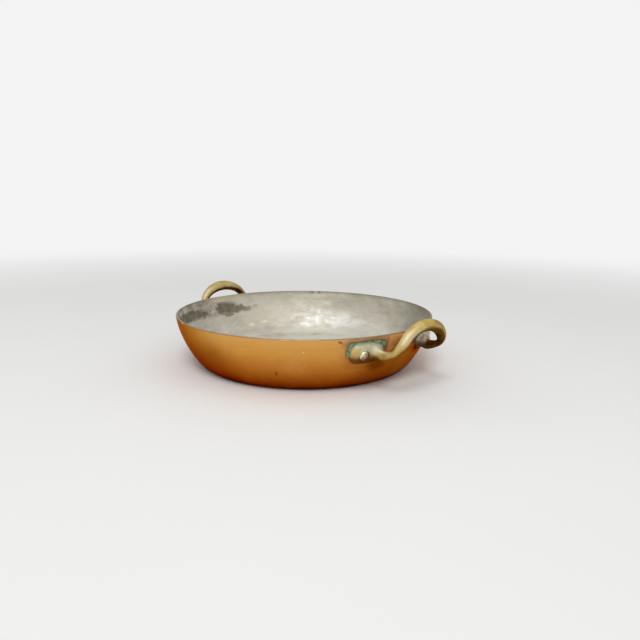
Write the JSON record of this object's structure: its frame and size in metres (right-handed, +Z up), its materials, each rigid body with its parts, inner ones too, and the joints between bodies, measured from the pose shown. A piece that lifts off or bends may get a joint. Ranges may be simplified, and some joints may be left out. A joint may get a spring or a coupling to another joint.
{
  "type": "gratin pan",
  "caption": "Round, low copper gratin pan with a tinned inside, a curved wall and cast brass loop handles riveted to opposite sides.",
  "frame": {"origin": "middle of the flat base, on the surface that the pan stands on", "axes": "+Z up, +X through the right handle, so X runs from handle to handle"},
  "size_m": [0.3138, 0.26, 0.0654],
  "materials": {
    "copper": "satin, darkened toward the base",
    "tin": "dull wiped tin with darker stains",
    "handle_brass": "satin cast",
    "rivet_copper": "satin, hammered dome"
  },
  "bodies": {
    "root": {"pan_body": "copper", "tin_lining": "tin", "handle_right": "handle_brass", "handle_left": "handle_brass", "rivet_right_front": "rivet_copper", "rivet_right_back": "rivet_copper", "rivet_left_front": "rivet_copper", "rivet_left_back": "rivet_copper"}
  },
  "joints": []
}
